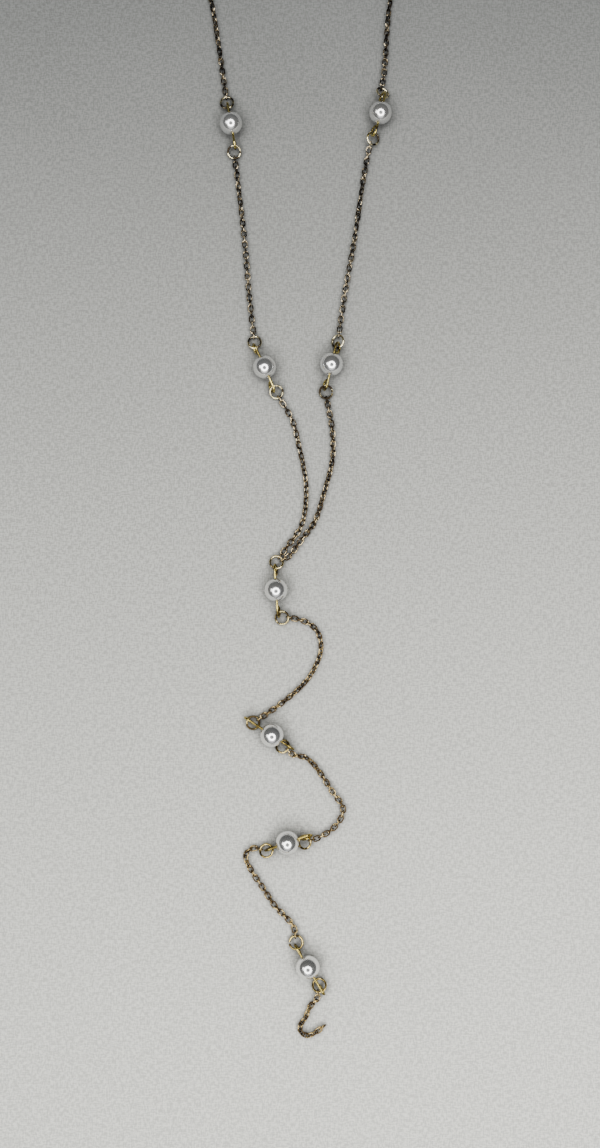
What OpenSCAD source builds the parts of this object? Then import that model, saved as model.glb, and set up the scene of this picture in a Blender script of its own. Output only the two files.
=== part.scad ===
/* [Pearls] */
// Diameter of a pearl
pearl_d = 6; // [5.6:0.1:6]
// Bore through a pearl, for its eye pin
bore_d = 0.9; // [0.8:0.05:1.2]

/* [Eye pins] */
// Diameter of the pin's wire
pin_d = 0.65; // [0.55:0.05:0.65]
// Outside diameter of an eye
eye_d = 3.3; // [3.1:0.1:3.3]

/* [Jump rings] */
// Outside diameter of a jump ring
ring_d = 3.9; // [3.85:0.05:4]
// Diameter of a jump ring's wire
ring_wire = 0.56; // [0.5:0.02:0.56]

/* [Chain] */
// Length of a link, outside
link_l = 2.3; // [2.3:0.05:2.4]
// Width of a link, outside
link_w = 1.58; // [1.54:0.02:1.6]
// Diameter of a link's wire
link_wire = 0.34; // [0.28:0.02:0.34]

/* [Clasp] */
// Diameter of the barrel
clasp_d = 3.2; // [2.8:0.1:3.6]
// Length of the barrel, without its eyes
clasp_l = 8; // [7:0.5:9]

/* [Hidden] */
$fn = 32;

// The necklace lies on the plane z = 0, seen from above, with its tail at -Y.
gap = 0.1;                               // least clearance between two pieces
eye_r = (eye_d - pin_d) / 2;             // centre line of an eye
eye_turn = 292;                          // how far an eye's wire is bent round, in degrees
shank_d = pin_d - 0.04;                  // the straight wire, a hair thinner than the bent eyes
shank_into_eye = 0.05;                   // overlap of the straight wire with each eye
ring_r = (ring_d - ring_wire) / 2;       // centre line of a jump ring
link_side = (link_w - link_wire) / 2;    // from a link's middle to its side wire
link_end = (link_l - link_wire) / 2;     // from a link's middle to its end wire
link_straight = link_l - link_w;         // straight part of a link's sides
rest_gap = 0.05;                         // chain above the surface it lies on
settle = 3;                              // length over which a chain drops from a ring to the surface

// Pearls: x, y, bearing of the first eye, its droop, distances of the two eyes from
// the pearl's middle, and how far each eye leans over sideways from hanging straight down
PX = 0; PY = 1; BEARING = 2; DROOP = 3; REACH_1 = 4; REACH_2 = 5; LEAN_1 = 6; LEAN_2 = 7;
pearls = [
  [-18.4, 72.5, 100, 0, 4.8, 5.2, 0, 0],
  [21.5, 75.4, 76, 0, 4.8, 4.8, 25, -25],
  [-9.3, 6.3, 114, 0, 5.7, 5.4, 8, -15],
  [8.3, 7.1, 78, 0, 4.9, 5.5, -25, -20],
  [-6.2, -52.4, 94, 0, 5.35, 5.55, -10, 10],
  [-7.2, -89.8, 147, 0, 7, 5.2, 0, 0],
  [-3.2, -117, 20, 0, 5, 4.65, -20, 0],
  [2, -148.1, 121, 0, 5, 6.7, 0, 0],
];

// Jump rings, two to a pearl: x, y, bearing of the high side, height there, height opposite
RX = 0; RY = 1; HIGH = 2; TOP = 3; LOW = 4;
rings = [
  [-19.6, 79, 280, 1.4, 0.8],
  [-17.6, 65.3, 100, 1.4, 0.8],
  [22.2, 81.6, 225, 2.43, 0.47],
  [19.5, 68.9, 170, 2.3, 0.8],
  [-12, 13.4, 292, 1.5, 0.8],
  [-6.2, 0.05, 118, 1.6, 0.8],
  [10, 13.5, 0, 2.4, 0.7],
  [6.85, 0.05, 90, 1.5, 0.8],
  [-6.1, -45, 262, 1.4, 0.8],
  [-4.65, -59.5, 115, 1.5, 0.8],
  [-12.1, -86.6, 147, 1.7, 0.6],
  [-4.45, -92.65, 309, 1.77, 0.35],
  [1.2, -117, 350, 1.96, 0.45],
  [-8.6, -119.15, 320, 1.85, 0.8],
  [-1, -142.2, 280, 1.4, 0.8],
  [4.9, -152.9, 301, 1.6, 0.6],
];

// Chains of links: jump ring and bearing at the start, the same at the end, pitch,
// turn of the first link, swing of the turns in the middle, and the points between
FROM = 0; FROM_AT = 1; TO = 2; TO_AT = 3; PITCH = 4; TURN = 5; SWING = 6; POINTS = 7;
no_ring = -1;
left_upper = [1, 275, 4, 98, 1.48, 0, 45, [[-16, 52], [-14.5, 38.5], [-13.5, 26.5]]];
left_lower = [5, 292, 8, 62, 1.48, 0, 45,
  [[-2, -7.5], [0, -15.5], [1.5, -23.5], [1.5, -30], [0.5, -35], [-1.5, -38.5], [-3.5, -41]]];
right_lower = [7, 272, 8, 20, 1.32, 0, 0,
  [[8.5, -10], [8.5, -18], [6.5, -26], [4, -34], [0.7, -38.7], [-1, -41], [-2.6, -43.2]]];
drop_1 = [9, 8, 10, 30, 1.34, 0, 45,
  [[1.5, -60.5], [4.5, -63], [5.5, -67], [4.5, -71], [1.5, -76], [-4, -81]]];
drop_2 = [11, 324, 12, 18, 1.36, 0, 45,
  [[-1.5, -95], [1.5, -95.5], [4.5, -98.5], [8.5, -104.5], [11, -108], [10.5, -111], [8, -114], [4.5, -116]]];
drop_3 = [13, 165, 14, 96, 1.33, 0, 45,
  [[-11.6, -118.5], [-13, -118.9], [-13.9, -120.1], [-13.8, -121.7], [-12.9, -123.4], [-11.3, -126], [-9.5, -128.5],
   [-6.5, -133], [-3, -136.5], [-1.5, -138.5]]];
tail = [15, 255, no_ring, 0, 1.28, 0, 50,
  [[4.5, -155.9], [3.7, -157.1], [2.6, -158], [2, -159.3], [1.5, -160.8], [0.6, -162], [-0.1, -163.3],
   [0.3, -164.7], [1.6, -165.4], [3.1, -165.1], [4.6, -164.1], [6.2, -162.9]]];

// Routes of the finest chains, from ring to ring or to the clasp, round the back of the neck
CLASP_Y = 164;
right_upper = [[18.1, 64.5], [16.5, 55], [14.5, 41.5], [12, 27.5], [10.7, 18.5]];
neck_left = [[-20.4, 84.5], [-21, 88.5], [-22, 95.5], [-24, 107.5], [-27, 118], [-30.5, 128],
  [-32, 138], [-30, 148], [-24.5, 156], [-16, 161.5], [-9.5, 163.5]];
neck_right = [[22.5, 86.5], [23, 91.5], [23.5, 99.5], [24.5, 108], [27, 118], [30.5, 128],
  [32, 138], [30, 148], [24.5, 156], [16, 161.5], [9.5, 163.5]];
tube_sides = 8;
tube_step = 3;                           // rings of the neck tubes, in chain widths
clasp_eye_d = 2.4;
clasp_eye_wire = 0.5;
clasp_eye_x = clasp_l / 2 + clasp_eye_d / 2 - clasp_eye_wire;

// Smooth curve through points, with even steps along it
function pick(p, i) = p[min(max(i, 0), len(p) - 1)];
function between(a, b, c, d, t) =
  0.5 * (2 * b + (c - a) * t + (2 * a - 5 * b + 4 * c - d) * t * t + (3 * b - a - 3 * c + d) * t * t * t);
function smooth(p, steps = 8) = concat([for (i = [0:len(p) - 2]) for (k = [0:steps - 1])
  between(pick(p, i - 1), p[i], p[i + 1], pick(p, i + 2), k / steps)], [p[len(p) - 1]]);
function lengths(p) = [for (i = 0, s = 0; i < len(p); s = s + norm(pick(p, i + 1) - p[i]), i = i + 1) s];
function last(p) = p[len(p) - 1];
function along(p, s, at) =
  [for (axis = [0:len(p[0]) - 1]) lookup(at, [for (i = [0:len(p) - 1]) [s[i], p[i][axis]]])];

// A jump ring's middle, lean, and the point at a bearing and a distance from its middle
function ring_middle(r) = [r[RX], r[RY], (r[TOP] + r[LOW]) / 2];
function ring_lean(r) = asin((r[TOP] - r[LOW]) / (2 * ring_r));
function ring_point(r, bearing, reach) = ring_middle(r)
  + reach * cos(bearing - r[HIGH]) * [cos(r[HIGH]) * cos(ring_lean(r)), sin(r[HIGH]) * cos(ring_lean(r)),
                                      sin(ring_lean(r))]
  + reach * sin(bearing - r[HIGH]) * [-sin(r[HIGH]), cos(r[HIGH]), 0];

// Where a chain's first joint lies inside its jump ring, so that the end link clears the ring's wire
function hold(pitch) = ring_r + link_end - (ring_wire + link_wire) / 2 - 2 * gap - pitch / 2;
function flat(p) = [p.x, p.y];
function chain_route(c) = smooth(concat([flat(ring_point(rings[c[FROM]], c[FROM_AT], hold(c[PITCH])))], c[POINTS],
  c[TO] == no_ring ? [] : [flat(ring_point(rings[c[TO]], c[TO_AT], hold(c[PITCH])))]));
function turns(c, n) = [for (i = [0:n - 1]) c[TURN] + (n % 2 == 0 ? 90 : 0) * i / (n - 1)
  + c[SWING] * sin(180 * i / (n - 1))];
function rest_height(turn) = rest_gap + link_wire / 2 + link_side * max(abs(sin(turn)), abs(cos(turn)));
function ring_height(c, at_start) = at_start ? ring_point(rings[c[FROM]], c[FROM_AT], ring_r).z
  : c[TO] == no_ring ? rest_height(0) : ring_point(rings[c[TO]], c[TO_AT], ring_r).z;
function drop_share(s) = max(0, 1 - s / settle);
function joint_height(c, turn, s, whole) = rest_height(turn)
  + (ring_height(c, true) - rest_height(turn)) * drop_share(s - ring_r + hold(c[PITCH]))
  + (ring_height(c, false) - rest_height(turn)) * drop_share(whole - s - ring_r + hold(c[PITCH]));

// One link: two half rings joined by two straight sides, along X
module link() {
  for (side = [-1, 1]) {
    translate([side * link_straight / 2, 0, 0]) rotate([0, 0, -90 * side])
      rotate_extrude(angle = 180) translate([link_side, 0]) circle(d = link_wire);
    translate([-link_straight / 2, side * link_side, 0]) rotate([0, 90, 0])
      cylinder(h = link_straight, d = link_wire);
  }
}

// A chain of links, every other one turned by a quarter
module chain(c) {
  route = chain_route(c);
  s = lengths(route);
  whole = last(s);
  n = round(whole / c[PITCH]);
  turn = turns(c, n);
  joints = [for (i = [0:n]) let (at = whole * i / n, p = along(route, s, at))
    [p.x, p.y, joint_height(c, turn[min(i, n - 1)], at, whole)]];
  for (i = [0:n - 1]) {
    way = joints[i + 1] - joints[i];
    translate((joints[i] + joints[i + 1]) / 2)
      rotate([0, -atan2(way.z, norm(flat(way))), atan2(way.y, way.x)])
        rotate([90 * (i + 1) + turn[i], 0, 0]) link();
  }
}

module pearl(i) {
  p = pearls[i];
  color("ghostwhite") translate([p[PX], p[PY], pearl_d / 2]) difference() {
    sphere(d = pearl_d, $fn = 64);
    rotate([0, 90 + p[DROOP], p[BEARING]]) cylinder(h = 2 * pearl_d, d = bore_d, center = true);
  }
}

// The bent eye at a pin's end: it starts on the pin's line and hangs below it
module eye(reach, lean) {
  rotate([lean, 0, 0]) translate([reach, 0, -eye_r]) rotate([90, 0, 0]) rotate([0, 0, 90 - eye_turn])
    rotate_extrude(angle = eye_turn) translate([eye_r, 0]) circle(d = pin_d);
}

// One wire through a pearl, with an eye at both ends
module eye_pin(i) {
  p = pearls[i];
  color("gold") translate([p[PX], p[PY], pearl_d / 2]) rotate([0, p[DROOP], p[BEARING]]) {
    translate([-p[REACH_2] - shank_into_eye, 0, 0]) rotate([0, 90, 0])
      cylinder(h = p[REACH_1] + p[REACH_2] + 2 * shank_into_eye, d = shank_d);
    eye(p[REACH_1], p[LEAN_1]);
    rotate([0, 0, 180]) eye(p[REACH_2], p[LEAN_2]);
  }
}

module jump_ring(i) {
  r = rings[i];
  color("khaki") translate(ring_middle(r)) rotate([0, -ring_lean(r), r[HIGH]])
    rotate_extrude() translate([ring_r, 0]) circle(d = ring_wire);
}

// Closed skin round a route: rings of points, each square to the route
module sweep(route, width, sides) {
  n = len(route) - 1;
  points = [for (i = [0:n]) let (way = route[min(i + 1, n)] - route[max(i - 1, 0)],
      across = cross(way, [0, 0, 1]) / norm(cross(way, [0, 0, 1])), over = cross(across, way) / norm(way))
    for (k = [0:sides - 1]) route[i] + width / 2 * (across * cos(360 * k / sides) + over * sin(360 * k / sides))];
  skin = [for (i = [0:n - 1]) for (k = [0:sides - 1]) let (a = i * sides + k, b = i * sides + (k + 1) % sides)
    [a, b, b + sides, a + sides]];
  polyhedron(points, concat(skin, [[for (k = [sides - 1:-1:0]) k]], [[for (k = [0:sides - 1]) n * sides + k]]));
}

// The finest chains, each as one tube of the chain's width that ends just short of what it hooks into
function at_ring(r, bearing) = ring_point(rings[r], bearing, ring_d / 2 + 3 * gap);
function at_clasp(side) = [side * (clasp_eye_x + clasp_eye_d / 2 + 3 * gap), CLASP_Y, clasp_d / 2];
module chain_tube(start, points, finish) {
  route = smooth(concat([flat(start)], points, [flat(finish)]));
  s = lengths(route);
  whole = last(s);
  n = round(whole / (tube_step * link_w));
  lying = rest_gap + link_w / 2;
  color("darkgoldenrod") sweep([for (i = [0:n]) let (at = whole * i / n, p = along(route, s, at))
    [p.x, p.y, lying + max(0, start.z - lying) * drop_share(at) + max(0, finish.z - lying) * drop_share(whole - at)]],
    link_w, tube_sides);
}

// Plain barrel, closed, with a fixed eye at both ends
module clasp() {
  color("gold") translate([0, CLASP_Y, clasp_d / 2]) {
    rotate([0, 90, 0]) rotate_extrude() polygon([[0, -clasp_l / 2], [clasp_d * 0.3, -clasp_l / 2],
      [clasp_d / 2, -clasp_l * 0.38], [clasp_d / 2, clasp_l * 0.38], [clasp_d * 0.3, clasp_l / 2],
      [0, clasp_l / 2]]);
    for (side = [-1, 1]) translate([side * clasp_eye_x, 0, 0])
      rotate_extrude() translate([(clasp_eye_d - clasp_eye_wire) / 2, 0]) circle(d = clasp_eye_wire);
  }
}

for (i = [0:7]) pearl(i);
for (i = [0:7]) eye_pin(i);
for (i = [0:15]) jump_ring(i);
color("sienna") chain(left_upper);  // chain_left_upper
chain_tube(at_ring(3, 242), right_upper, at_ring(6, 78));  // chain_right_upper
color("sienna") chain(left_lower);  // chain_left_lower
color("sienna") chain(right_lower);  // chain_right_lower
color("sienna") chain(drop_1);  // chain_drop_1
color("sienna") chain(drop_2);  // chain_drop_2
color("sienna") chain(drop_3);  // chain_drop_3
color("sienna") chain(tail);  // chain_tail
chain_tube(at_ring(0, 97), neck_left, at_clasp(-1));  // neck_chain_left
chain_tube(at_ring(2, 85), neck_right, at_clasp(1));  // neck_chain_right
clasp();
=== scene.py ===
"""Lariat necklace with round pearls on wired pins, laid out flat and seen from above."""
import math

import bmesh
import bpy
from mathutils import Matrix, Vector


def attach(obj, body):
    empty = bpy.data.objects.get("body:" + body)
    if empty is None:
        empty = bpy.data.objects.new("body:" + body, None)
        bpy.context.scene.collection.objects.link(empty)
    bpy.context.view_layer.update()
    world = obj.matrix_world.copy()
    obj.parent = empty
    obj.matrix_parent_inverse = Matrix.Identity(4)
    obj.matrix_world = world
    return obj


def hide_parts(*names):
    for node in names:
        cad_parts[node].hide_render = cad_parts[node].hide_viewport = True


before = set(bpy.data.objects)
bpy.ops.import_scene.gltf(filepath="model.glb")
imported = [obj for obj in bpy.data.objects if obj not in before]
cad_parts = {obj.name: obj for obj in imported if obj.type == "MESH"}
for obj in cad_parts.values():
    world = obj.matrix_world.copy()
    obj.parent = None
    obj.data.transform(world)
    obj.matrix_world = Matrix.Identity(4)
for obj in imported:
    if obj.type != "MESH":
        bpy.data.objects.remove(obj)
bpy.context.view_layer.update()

# Camera: above the drop, tipped a little towards the neck
CAMERA_PLACE = (0, -0.0855, 0.3897)
CAMERA_TIP = 5.5
LENS = 47.04
SENSOR = 36


def make_camera():
    data = bpy.data.cameras.new("camera")
    data.sensor_fit = "AUTO"
    data.sensor_width = SENSOR
    data.lens = LENS
    data.clip_start = 0.01
    data.clip_end = 20
    camera = bpy.data.objects.new("camera", data)
    camera.location = CAMERA_PLACE
    camera.rotation_euler = (math.radians(CAMERA_TIP), 0, 0)
    bpy.context.collection.objects.link(camera)
    bpy.context.scene.camera = camera


make_camera()


# Sizes, in metres
PEARL_R = 0.003
BORE_R = 0.00045
BORE_LIP = 0.00008
RING_D = 0.0039
RING_WIRE = 0.00056
RING_R = (RING_D - RING_WIRE) / 2
LINK_L = 0.0023
LINK_W = 0.00158
LINK_WIRE = 0.00034
LINK_SIDE = (LINK_W - LINK_WIRE) / 2
LINK_END = (LINK_L - LINK_WIRE) / 2
CLASP_Y = 0.164
CLASP_D = 0.0032
CLASP_L = 0.008
CLASP_EYE_D = 0.0024
CLASP_EYE_WIRE = 0.0005
CLASP_EYE_R = (CLASP_EYE_D - CLASP_EYE_WIRE) / 2
CLASP_EYE_X = CLASP_L / 2 + CLASP_EYE_D / 2 - CLASP_EYE_WIRE
FLOOR_HALF = 30.0
FLOOR_DROP = 0.00002

# How the links made here are set: distance from joint to joint, half the room left where an end link hooks a
# wire, room below links that lie on the cloth, and the length over which an end comes down to lie on it
PITCH = 0.0014
GAP = 0.0001
REST_GAP = 0.00005
SETTLE = 0.003
# The small extra roll of each link follows a wave that goes on by this angle, in radians, from link to link
WOBBLE_STEP = 2.3

# Fineness of the round shapes: steps along a wire or round a body, and sides of a wire
PEARL_OUTLINE_STEPS = 40
PEARL_STEPS = 64
RING_STEPS, RING_SIDES = 80, 16
LINK_STEPS, LINK_SIDES = 20, 12
CLASP_STEPS = 48
CLASP_EYE_STEPS, CLASP_EYE_SIDES = 48, 14

# Pearls: x, y and the bearing of the bore
PEARLS = [
    (-0.0184, 0.0725, 100), (0.0215, 0.0754, 76), (-0.0093, 0.0063, 114), (0.0083, 0.0071, 78),
    (-0.0062, -0.0524, 94), (-0.0072, -0.0898, 147), (-0.0032, -0.117, 20), (0.002, -0.1481, 121),
]

# Jump rings: x, y, bearing of the high side, height there, height opposite, bearing of the cut, its width
RINGS = [
    (-0.0196, 0.079, 280, 0.0014, 0.0008, 195, 4),
    (-0.0176, 0.0653, 100, 0.0014, 0.0008, 10, 4),
    (0.0222, 0.0816, 225, 0.00243, 0.00047, 340, 5),
    (0.0195, 0.0689, 170, 0.0023, 0.0008, 340, 4),
    (-0.012, 0.0134, 292, 0.0015, 0.0008, 15, 5),
    (-0.0062, 0.00005, 118, 0.0016, 0.0008, 215, 4),
    (0.01, 0.0135, 0, 0.0024, 0.0007, 180, 4),
    (0.00685, 0.00005, 90, 0.0015, 0.0008, 355, 6),
    (-0.0061, -0.045, 262, 0.0014, 0.0008, 150, 4),
    (-0.00465, -0.0595, 115, 0.0015, 0.0008, 240, 4),
    (-0.0121, -0.0866, 147, 0.0017, 0.0006, 250, 4),
    (-0.00445, -0.09265, 309, 0.00177, 0.00035, 150, 4),
    (0.0012, -0.117, 350, 0.00196, 0.00045, 225, 5),
    (-0.0086, -0.11915, 320, 0.00185, 0.0008, 270, 4),
    (-0.001, -0.1422, 280, 0.0014, 0.0008, 185, 12),
    (0.0049, -0.1529, 301, 0.0016, 0.0006, 120, 5),
]

# Routes of the chains made here: x and y of the points between their rings, or between ring and clasp. The
# last stretch of the neck chains is the same on either side; the left one has its x turned round.
RIGHT_UPPER = [(0.0181, 0.0645), (0.0165, 0.055), (0.0145, 0.0415), (0.012, 0.0275), (0.0107, 0.0185)]
NECK_LEFT = [(-0.0204, 0.0845), (-0.021, 0.0885), (-0.022, 0.0955), (-0.024, 0.1075)]
NECK_RIGHT = [(0.0225, 0.0865), (0.023, 0.0915), (0.0235, 0.0995), (0.0245, 0.108)]
NECK_BACK = [
    (0.027, 0.118), (0.0305, 0.128), (0.032, 0.138), (0.03, 0.148), (0.0245, 0.156), (0.016, 0.1615),
    (0.0095, 0.1635),
]

# Clasp: half of its outline, from the seam to the end, as shares of half its length and of its radius
CLASP_SIDE = [
    (0.0, 0.9), (0.03, 0.97), (0.1, 1.0), (0.7, 1.0), (0.78, 0.97), (0.88, 0.82), (0.96, 0.62), (1.0, 0.5),
]
CLASP_TIP_R = 0.00002

# Looks
TO_NECK = (0, 1, 0)
TO_RIGHT = (1, 0, 0)
NOISE_ROUGHNESS = 0.55
MARK_DEPTH = 0.00001
WEAVE_DEPTH = 0.0001
WEAVE_SCALE = 2800.0
SCRATCH_SCALE = 9000.0
# From y to y the metals' tones turn from those of the tail into those of the neck
METAL_SPAN = (-0.12, 0.04)


# Materials
def new_material(name):
    material = bpy.data.materials.new(name)
    material.use_nodes = True
    return material, material.node_tree, material.node_tree.nodes["Principled BSDF"]


def add(tree, kind, **values):
    node = tree.nodes.new(kind)
    for name, value in values.items():
        if name in node.inputs:
            node.inputs[name].default_value = value
        else:
            setattr(node, name, value)
    return node


def noise(tree, where, scale, detail):
    node = add(tree, "ShaderNodeTexNoise", Scale=scale, Detail=detail, Roughness=NOISE_ROUGHNESS)
    tree.links.new(where, node.inputs["Vector"])
    return node.outputs["Fac"]


def spread(tree, value, low_in, high_in, low, high):
    """low to high, smoothly, as the value goes from low_in to high_in."""
    node = tree.nodes.new("ShaderNodeMapRange")
    node.interpolation_type = "SMOOTHSTEP"
    for name, number in (("From Min", low_in), ("From Max", high_in), ("To Min", low), ("To Max", high)):
        node.inputs[name].default_value = number
    tree.links.new(value, node.inputs["Value"])
    return node.outputs["Result"]


def blend(tree, share, first, second):
    """first where share is 0, second where it is 1; each is a colour or a socket."""
    node = tree.nodes.new("ShaderNodeMix")
    node.data_type = "RGBA"
    tree.links.new(share, node.inputs[0])
    for socket, value in ((node.inputs[6], first), (node.inputs[7], second)):
        if isinstance(value, tuple):
            socket.default_value = value
        else:
            tree.links.new(value, socket)
    return node.outputs[2]


def bump(tree, height, distance, strength):
    node = add(tree, "ShaderNodeBump", Distance=distance, Strength=strength)
    tree.links.new(height, node.inputs["Height"])
    return node.outputs["Normal"]


def object_place(tree):
    return tree.nodes.new("ShaderNodeTexCoord").outputs["Object"]


def along(tree, place, direction, low_in, high_in):
    """0 to 1 from one distance to another along a direction."""
    node = add(tree, "ShaderNodeVectorMath", operation="DOT_PRODUCT")
    node.inputs[1].default_value = direction
    tree.links.new(place, node.inputs[0])
    return spread(tree, node.outputs["Value"], low_in, high_in, 0.0, 1.0)


# Marks shared by the metals: fine scratches from handling, and spots that are darker and duller, partly
# tarnish and partly painted reflection: the light spots stand in for glints and the deep ones for dark
# reflections
def make_wear_and_reflection_group():
    group = bpy.data.node_groups.new("metal_wear_and_reflections", "ShaderNodeTree")
    group.interface.new_socket("Vector", in_out="INPUT", socket_type="NodeSocketVector")
    group.interface.new_socket("Spot Scale", in_out="INPUT", socket_type="NodeSocketFloat")
    for name in ("Tarnish and Painted Reflections", "Scratches"):
        group.interface.new_socket(name, in_out="OUTPUT", socket_type="NodeSocketFloat")
    start = group.nodes.new("NodeGroupInput")
    end = group.nodes.new("NodeGroupOutput")
    place = start.outputs["Vector"]
    tarnish_and_painted_reflections = noise(group, place, 1.0, 3.0)
    group.links.new(start.outputs["Spot Scale"], tarnish_and_painted_reflections.node.inputs["Scale"])
    group.links.new(tarnish_and_painted_reflections, end.inputs["Tarnish and Painted Reflections"])
    stretch = add(group, "ShaderNodeMapping", Scale=(1.0, 0.16, 1.0), Rotation=(0.3, 0.5, 0.4))
    group.links.new(place, stretch.inputs["Vector"])
    scratches = noise(group, stretch.outputs["Vector"], SCRATCH_SCALE, 2.0)
    group.links.new(scratches, end.inputs["Scratches"])
    return group


def metal(name, light, deep, spot_scale, turns, rough, scratch):
    """A worn metal, with painted glints and painted dark reflections in its spots.

    light and deep: each a tone at the tail and one at the neck. turns: the noise values between which light
    turns into deep. rough: roughness where the noise is low and where it is high. scratch: their strength.
    """
    material, tree, surface = new_material(name)
    place = object_place(tree)
    wear_and_painted_reflections = add(tree, "ShaderNodeGroup", node_tree=wear_and_reflection_group)
    tree.links.new(place, wear_and_painted_reflections.inputs["Vector"])
    wear_and_painted_reflections.inputs["Spot Scale"].default_value = spot_scale
    tarnish_and_painted_reflections = wear_and_painted_reflections.outputs["Tarnish and Painted Reflections"]
    towards_neck = along(tree, place, TO_NECK, *METAL_SPAN)
    # Painted glints and painted dark reflections, partly tarnish: the spots turn the tone from light to deep
    share = spread(tree, tarnish_and_painted_reflections, *turns, 0.0, 1.0)
    tone = blend(tree, share, blend(tree, towards_neck, *light), blend(tree, towards_neck, *deep))
    tree.links.new(tone, surface.inputs["Base Color"])
    tree.links.new(spread(tree, tarnish_and_painted_reflections, 0.35, 0.7, *rough), surface.inputs["Roughness"])
    tree.links.new(bump(tree, wear_and_painted_reflections.outputs["Scratches"], MARK_DEPTH, scratch), surface.inputs["Normal"])
    surface.inputs["Metallic"].default_value = 1.0
    return material


def make_pearl_material():
    material, tree, surface = new_material("pearl")
    place = object_place(tree)
    cloudy = spread(tree, noise(tree, place, 260.0, 3.0), 0.35, 0.65, 0.0, 1.0)
    tint = blend(tree, cloudy, (0.78, 0.78, 0.79, 1), (0.82, 0.81, 0.79, 1))
    tree.links.new(tint, surface.inputs["Base Color"])
    rough = spread(tree, noise(tree, place, 500.0, 2.0), 0.3, 0.7, 0.16, 0.2)
    tree.links.new(rough, surface.inputs["Roughness"])
    surface.inputs["Metallic"].default_value = 0.94
    surface.inputs["Coat Weight"].default_value = 1.0
    surface.inputs["Coat Roughness"].default_value = 0.03
    dimples = bump(tree, noise(tree, place, 700.0, 1.0), MARK_DEPTH, 0.02)
    tree.links.new(dimples, surface.inputs["Normal"])
    return material


# Cloth: pale and a little darker towards the left, with painted shade that deepens towards the neck and turns
# pale again beyond it, woven with painted shade in the hollows between the threads, and a painted contact
# shadow close under things
def make_cloth_material():
    material, tree, surface = new_material("cloth")
    place = object_place(tree)
    # Painted shade: far darkens the colour towards the neck, and the blend after it turns the colour pale
    # again beyond the neck
    far = along(tree, place, TO_NECK, -0.26, 0.17)
    across = along(tree, place, TO_RIGHT, -0.09, 0.09)
    near = blend(tree, across, (0.76, 0.76, 0.71, 1), (0.86, 0.855, 0.8, 1))
    tone = blend(tree, far, near, (0.12, 0.124, 0.124, 1))
    tone = blend(tree, along(tree, place, TO_NECK, 0.12, 0.42), tone, (0.6, 0.6, 0.58, 1))
    patches = spread(tree, noise(tree, place, 14.0, 2.0), 0.3, 0.7, 0.0, 0.06)
    tone = blend(tree, patches, tone, (0.4, 0.4, 0.4, 1))
    weave = tree.nodes.new("ShaderNodeMath")
    weave.operation = "ADD"
    for socket, scale in zip(weave.inputs, ((1.0, 0.3, 1.0), (0.3, 1.0, 1.0))):
        stretch = add(tree, "ShaderNodeMapping", Scale=scale)
        tree.links.new(place, stretch.inputs["Vector"])
        tree.links.new(noise(tree, stretch.outputs["Vector"], WEAVE_SCALE, 2.0), socket)
    threads = weave.outputs[0]
    # Painted shade in the weave's hollows: the colour is darkened where the threads' height is low
    tone = blend(tree, spread(tree, threads, 0.8, 1.2, 0.36, 0.0), tone, (0.02, 0.02, 0.02, 1))
    # Painted contact shadow: the colour darkens where ambient occlusion finds things close above the cloth
    corner = add(tree, "ShaderNodeAmbientOcclusion", Distance=0.0065, samples=8)
    shade = spread(tree, corner.outputs["AO"], 0.35, 1.0, 0.8, 0.0)
    tone = blend(tree, shade, tone, (0.05, 0.05, 0.05, 1))
    tree.links.new(tone, surface.inputs["Base Color"])
    surface.inputs["Roughness"].default_value = 0.9
    surface.inputs["Specular IOR Level"].default_value = 0.15
    tree.links.new(bump(tree, threads, WEAVE_DEPTH, 0.4), surface.inputs["Normal"])
    return material


wear_and_reflection_group = make_wear_and_reflection_group()
PEARL = make_pearl_material()
# The light tones stand partly for painted glints, the deep ones partly for painted dark reflections and
# partly for tarnish
RING_GOLD = metal(
    "ring_gold",
    light=((0.52, 0.4, 0.14, 1), (0.84, 0.75, 0.48, 1)),
    deep=((0.06, 0.04, 0.015, 1), (0.03, 0.022, 0.014, 1)),
    spot_scale=420, turns=(0.46, 0.58), rough=(0.1, 0.2), scratch=0.3)
PIN_GOLD = metal(
    "pin_gold",
    light=((0.48, 0.37, 0.1, 1), (0.58, 0.48, 0.16, 1)),
    deep=((0.09, 0.062, 0.015, 1), (0.09, 0.065, 0.02, 1)),
    spot_scale=500, turns=(0.42, 0.6), rough=(0.12, 0.24), scratch=0.35)
CHAIN = metal(
    "chain",
    light=((0.52, 0.385, 0.17, 1), (0.5, 0.41, 0.27, 1)),
    deep=((0.07, 0.044, 0.021, 1), (0.014, 0.011, 0.008, 1)),
    spot_scale=700, turns=(0.41, 0.53), rough=(0.16, 0.3), scratch=0.5)


# Shapes
def finish_piece(bm, name, material, slot, *nodes):
    bmesh.ops.recalc_face_normals(bm, faces=bm.faces)
    mesh = bpy.data.meshes.new(name)
    bm.to_mesh(mesh)
    bm.free()
    for face in mesh.polygons:
        face.use_smooth = True
    piece = bpy.data.objects.new(name, mesh)
    bpy.context.collection.objects.link(piece)
    mesh.materials.append(material)
    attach(piece, "root")
    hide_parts(*nodes)


def turn(degrees, axis):
    return Matrix.Rotation(math.radians(degrees), 4, axis)


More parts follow.
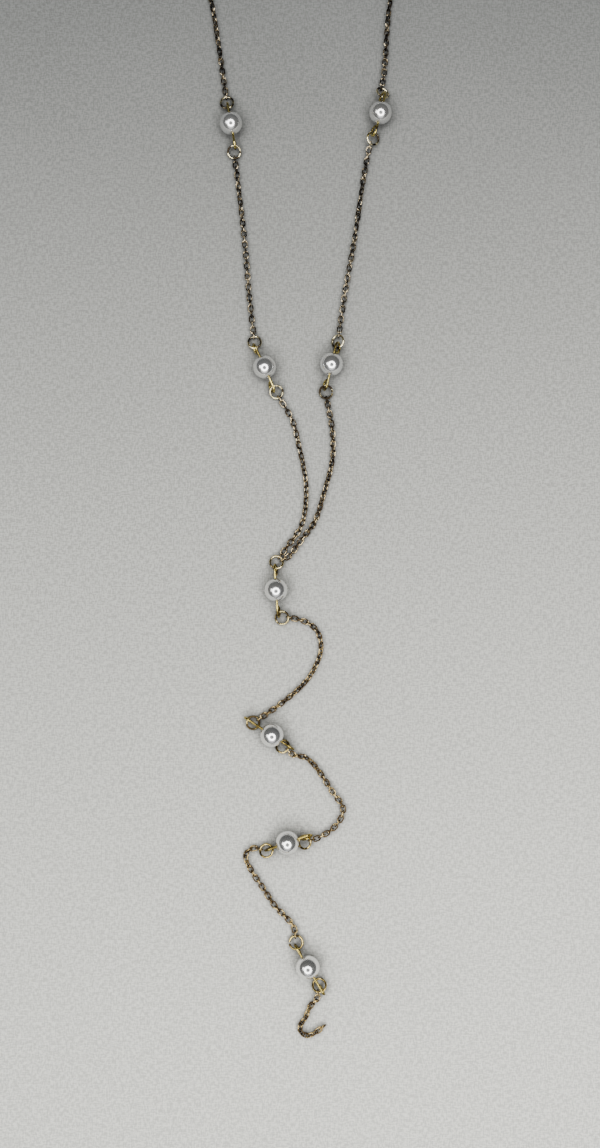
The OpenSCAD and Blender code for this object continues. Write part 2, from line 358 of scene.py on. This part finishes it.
def wire_ring(bm, radius, wire, degrees, steps, sides):
    """A wire bent round the Z axis, ending on either side of bearing 0."""
    before = set(bm.verts)
    section = bmesh.ops.create_circle(bm, cap_ends=degrees < 360, segments=sides, radius=wire / 2)["verts"]
    open_half = (360 - degrees) / 2
    lay = turn(open_half, "Z") @ Matrix.Translation((radius, 0, 0)) @ turn(90, "X")
    bmesh.ops.transform(bm, matrix=lay, verts=section)
    edges = list({edge for vert in section for edge in vert.link_edges})
    faces = list({face for vert in section for face in vert.link_faces})
    bmesh.ops.spin(bm, geom=section + edges + faces, cent=(0, 0, 0), axis=(0, 0, 1),
                   angle=math.radians(degrees), steps=steps, use_merge=degrees >= 360)
    return [vert for vert in bm.verts if vert not in before]


def spun_profile(bm, profile, steps):
    """A closed outline of points (x, distance from the X axis), turned round the X axis."""
    verts = [bm.verts.new((x, 0, out)) for x, out in profile]
    edges = [bm.edges.new((verts[i], verts[(i + 1) % len(verts)])) for i in range(len(verts))]
    bmesh.ops.spin(bm, geom=verts + edges, cent=(0, 0, 0), axis=(1, 0, 0), angle=2 * math.pi,
                   steps=steps, use_merge=True)


# Pearls: a round bead with a softly rounded mouth at each end of its bore
def pearl_outline():
    start = math.asin((BORE_R + BORE_LIP) / PEARL_R)
    sweep = math.pi - 2 * start
    angles = [start + sweep * i / PEARL_OUTLINE_STEPS for i in range(PEARL_OUTLINE_STEPS + 1)]
    outside = [(PEARL_R * math.cos(angle), PEARL_R * math.sin(angle)) for angle in angles]
    mouth = math.sqrt(PEARL_R ** 2 - BORE_R ** 2)
    rounding = (mouth - BORE_LIP * 0.2, BORE_R + BORE_LIP * 0.3)
    inside = [(-rounding[0], rounding[1]), (-mouth + BORE_LIP, BORE_R), (mouth - BORE_LIP, BORE_R), rounding]
    return outside + inside


def make_pearl(number, x, y, bearing):
    bm = bmesh.new()
    spun_profile(bm, pearl_outline(), PEARL_STEPS)
    bmesh.ops.transform(bm, matrix=Matrix.Translation((x, y, PEARL_R)) @ turn(bearing, "Z"), verts=bm.verts)
    finish_piece(bm, f"bead_{number}", PEARL, "pearl", f"pearl_{number}")


# Jump rings: round wire, cut through once
def ring_frame(ring):
    x, y, high, top, low = ring[:5]
    lean = math.degrees(math.asin((top - low) / (2 * RING_R)))
    return Matrix.Translation((x, y, (top + low) / 2)) @ turn(high, "Z") @ turn(-lean, "Y")


def make_ring(number, ring):
    high, cut, width = ring[2], ring[5], ring[6]
    bm = bmesh.new()
    wire_ring(bm, RING_R, RING_WIRE, 360 - width, RING_STEPS, RING_SIDES)
    # The only faces with more than four corners are the two cut ends
    ends = [edge for face in bm.faces if len(face.verts) > 4 for edge in face.edges]
    bmesh.ops.bevel(bm, geom=ends, offset=RING_WIRE * 0.1, offset_type="OFFSET", segments=2, profile=0.5,
                    affect="EDGES", material=-1)
    bmesh.ops.transform(bm, matrix=ring_frame(ring) @ turn(cut - high, "Z"), verts=bm.verts)
    finish_piece(bm, f"ring_{number}", RING_GOLD, "ring_gold", f"jump_ring_{number}")


# Chains: one link, and links set along a route
def one_link():
    bm = bmesh.new()
    verts = wire_ring(bm, LINK_SIDE, LINK_WIRE, 360, LINK_STEPS, LINK_SIDES)
    # Half a step of turn, so that no corner lies on the line where the two ends are drawn apart
    bmesh.ops.transform(bm, matrix=turn(180 / LINK_STEPS, "Z"), verts=verts)
    for vert in verts:
        vert.co.x += math.copysign((LINK_L - LINK_W) / 2, vert.co.x)
    mesh = bpy.data.meshes.new("link")
    bm.to_mesh(mesh)
    bm.free()
    return mesh


def smooth_route(points, steps=8):
    """Points along a smooth curve through the given ones."""
    count = len(points)
    route = []
    for i in range(count - 1):
        a, b, c, d = (Vector(points[min(max(i + k, 0), count - 1)]) for k in (-1, 0, 1, 2))
        for k in range(steps):
            t = k / steps
            route.append(0.5 * (2 * b + (c - a) * t + (2 * a - 5 * b + 4 * c - d) * t * t
                                + (3 * b - a - 3 * c + d) * t ** 3))
    return route + [Vector(points[-1])]


def at_length(route, lengths, s):
    """The point of a route at distance s from its start; lengths: the distance at each of its points."""
    for i in range(len(route) - 1):
        if lengths[i + 1] >= s or i == len(route) - 2:
            share = (s - lengths[i]) / (lengths[i + 1] - lengths[i])
            return route[i].lerp(route[i + 1], min(max(share, 0.0), 1.0))


def rest_height(degrees):
    """Height of the middle of a link that lies on the cloth, rolled by an angle."""
    lean = math.radians(degrees)
    return REST_GAP + LINK_WIRE / 2 + LINK_SIDE * max(abs(math.sin(lean)), abs(math.cos(lean)))


def make_chain(name, start, finish, points, swing, wobble, *nodes):
    """Links from start to finish, which come from hooked and hooked_to_clasp.

    swing: how far, in degrees, the links are rolled towards the chain's middle. wobble: the small extra roll.
    """
    route = smooth_route([start[0].xy] + [Vector(point) for point in points] + [finish[0].xy])
    lengths = [0.0]
    for a, b in zip(route, route[1:]):
        lengths.append(lengths[-1] + (b - a).length)
    whole = lengths[-1]
    count = round(whole / PITCH)
    # An even number of links needs a quarter turn along the way, so that both end links stand upright
    parity = 90 if count % 2 == 0 else 0
    joints = []
    turns = []
    for i in range(count + 1):
        share = min(i, count - 1) / (count - 1)
        sway = swing + wobble * math.sin(WOBBLE_STEP * i)
        turns.append(parity * share + math.sin(math.pi * share) * sway)
        s = whole * i / count
        lying = max(rest_height(turns[-1]), rest_height(turns[max(i - 1, 0)]))
        near = max(0.0, 1 - (s - start[2]) / SETTLE)
        far = max(0.0, 1 - (whole - s - finish[2]) / SETTLE)
        height = lying + (start[1] - lying) * near + (finish[1] - lying) * far
        joints.append(at_length(route, lengths, s).to_3d() + Vector((0, 0, height)))
    link = one_link()
    bm = bmesh.new()
    for i in range(count):
        way = joints[i + 1] - joints[i]
        bearing = Matrix.Rotation(math.atan2(way.y, way.x), 4, "Z")
        slope = Matrix.Rotation(-math.atan2(way.z, way.xy.length), 4, "Y")
        roll = turn(90 * (i + 1) + turns[i], "X")
        place = Matrix.Translation((joints[i] + joints[i + 1]) / 2) @ bearing @ slope @ roll
        before = len(bm.verts)
        bm.from_mesh(link)
        bm.verts.ensure_lookup_table()
        bmesh.ops.transform(bm, matrix=place, verts=bm.verts[before:])
    bpy.data.meshes.remove(link)
    finish_piece(bm, name, CHAIN, "chain", *nodes)


def ring_point(ring, bearing, reach):
    """The point of a ring's plane at a bearing and a distance from its middle."""
    place = turn(bearing - ring[2], "Z") @ Vector((reach, 0, 0))
    return ring_frame(ring) @ place


def hold(reach, wire):
    """How far from the middle of a ring or eye the first joint lies, so that the end link hooks its wire."""
    return reach + LINK_END - (wire + LINK_WIRE) / 2 - 2 * GAP - PITCH / 2


# Both give a joint's place, the height of the hooked wire, and the wire's distance from the joint
def hooked(number, bearing):
    ring = RINGS[number - 1]
    inside = hold(RING_R, RING_WIRE)
    return ring_point(ring, bearing, inside), ring_point(ring, bearing, RING_R).z, RING_R - inside


def hooked_to_clasp(side):
    inside = hold(CLASP_EYE_R, CLASP_EYE_WIRE)
    joint = Vector((side * (CLASP_EYE_X + inside), CLASP_Y, CLASP_D / 2))
    return joint, CLASP_D / 2, CLASP_EYE_R - inside


# Clasp: a barrel of two halves with a seam, and a fixed eye at each end
def make_clasp():
    half, out = CLASP_L / 2, CLASP_D / 2
    side = [(half * x, out * r) for x, r in CLASP_SIDE] + [(half, CLASP_TIP_R)]
    outline = [(-x, r) for x, r in reversed(side[1:])] + side
    bm = bmesh.new()
    spun_profile(bm, outline, CLASP_STEPS)
    for way in (-1, 1):
        eye = wire_ring(bm, CLASP_EYE_R, CLASP_EYE_WIRE, 360, CLASP_EYE_STEPS, CLASP_EYE_SIDES)
        bmesh.ops.transform(bm, matrix=Matrix.Translation((way * CLASP_EYE_X, 0, 0)), verts=eye)
    bmesh.ops.transform(bm, matrix=Matrix.Translation((0, CLASP_Y, out)), verts=bm.verts)
    finish_piece(bm, "barrel_clasp", RING_GOLD, "ring_gold", "clasp")


def make_floor():
    bm = bmesh.new()
    bmesh.ops.create_grid(bm, x_segments=2, y_segments=2, size=FLOOR_HALF)
    bmesh.ops.translate(bm, vec=(0, 0, -FLOOR_DROP), verts=bm.verts)
    mesh = bpy.data.meshes.new("floor")
    bm.to_mesh(mesh)
    bm.free()
    floor = bpy.data.objects.new("floor", mesh)
    bpy.context.collection.objects.link(floor)
    mesh.materials.append(make_cloth_material())


# Light: a dim room, a soft glow from the front, a big round lamp above that is dark in its middle, and a
# small lamp at the left. The two numbers after each direction are the cosines of the angles from it at which
# that light begins and is full.
LAMP_TIP = math.radians(18)


def make_light():
    world = bpy.data.worlds.new("room")
    bpy.context.scene.world = world
    world.use_nodes = True
    tree = world.node_tree
    back = tree.nodes["Background"]
    way = tree.nodes.new("ShaderNodeTexCoord").outputs["Generated"]

    def towards(direction, low, high):
        return along(tree, way, Vector(direction).normalized(), low, high)

    lamp_way = (0, -math.sin(LAMP_TIP), math.cos(LAMP_TIP))
    light = blend(tree, towards((0, 0, 1), 0.0, 0.1), (0.5, 0.5, 0.5, 1), (0.07, 0.072, 0.07, 1))
    light = blend(tree, towards((0, -0.75, 0.66), 0.78, 0.97), light, (1.0, 1.0, 1.0, 1))
    light = blend(tree, towards(lamp_way, 0.8, 0.88), light, (13.0, 13.0, 12.7, 1))
    light = blend(tree, towards(lamp_way, 0.895, 0.95), light, (0.15, 0.155, 0.16, 1))
    light = blend(tree, towards((-0.66, -0.1, 0.75), 0.97, 0.99), light, (5.0, 5.0, 4.9, 1))
    tree.links.new(light, back.inputs["Color"])
    back.inputs["Strength"].default_value = 1.0


for number, (x, y, bearing) in enumerate(PEARLS, 1):
    make_pearl(number, x, y, bearing)
for number, ring in enumerate(RINGS, 1):
    make_ring(number, ring)

# The pins and the other chains keep their solids and get their metal here
for name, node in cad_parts.items():
    material = PIN_GOLD if name.startswith("eye_pin") else CHAIN if name.startswith("chain") else None
    if material is not None:
        for slot in node.material_slots:
            slot.material = material

make_chain("links_right_upper", hooked(4, 242), hooked(7, 78), RIGHT_UPPER, 20, 14, "chain_right_upper")
make_chain("links_neck_left", hooked(1, 97), hooked_to_clasp(-1),
           NECK_LEFT + [(-x, y) for x, y in NECK_BACK], 45, 10, "neck_chain_left")
make_chain("links_neck_right", hooked(3, 100), hooked_to_clasp(1), NECK_RIGHT + NECK_BACK, 20, 14,
           "neck_chain_right")
make_clasp()
make_floor()
make_light()
